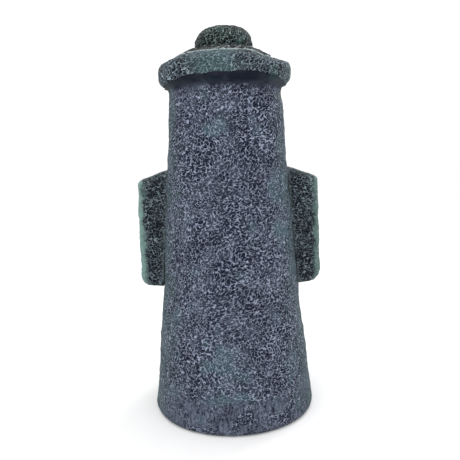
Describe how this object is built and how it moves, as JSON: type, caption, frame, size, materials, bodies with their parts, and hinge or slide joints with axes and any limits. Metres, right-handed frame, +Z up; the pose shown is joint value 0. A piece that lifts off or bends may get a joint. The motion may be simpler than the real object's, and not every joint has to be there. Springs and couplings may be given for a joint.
{
  "type": "guardian figure",
  "caption": "Free-standing hatted guardian figure of cast stone: tapered round trunk with a carved face, slab arms with hands on the belly, and a round-knobbed hat with a thick rolled brim.",
  "frame": {"origin": "centre of the felt's underside, where the figure stands, on the trunk's axis", "axes": "+Z up along the trunk; the figure faces -Y; its left arm is on +X"},
  "size_m": [0.1464, 0.1312, 0.3],
  "materials": {
    "trunk_stone": "stone effect: dark slate ground, pale dry-brushed wrinkles, green-grey bloom at the sides",
    "brim_stone": "stone effect, greener than the trunk, pale rubbed top edge",
    "crown_stone": "stone effect, dark with green bloom",
    "knob_stone": "stone effect, green-grey with dark pits",
    "bed_mortar": "smooth dark mortar fillet",
    "arm_stone": "stone effect, dark faces with pale green rubbed edges",
    "base_board": "plain unfinished fibreboard",
    "base_felt": "dark green felt",
    "dowel_wood": "plain beech"
  },
  "bodies": {
    "root": {"trunk_shell": "trunk_stone", "base_plate": "base_board", "base_felt": "base_felt", "hat_bed": "bed_mortar", "hat_brim": "brim_stone", "hat_crown": "crown_stone", "hat_knob": "knob_stone", "hat_dowel": "dowel_wood", "left_arm": "arm_stone", "right_arm": "arm_stone", "left_arm_pegs": "dowel_wood", "right_arm_pegs": "dowel_wood"}
  },
  "joints": []
}
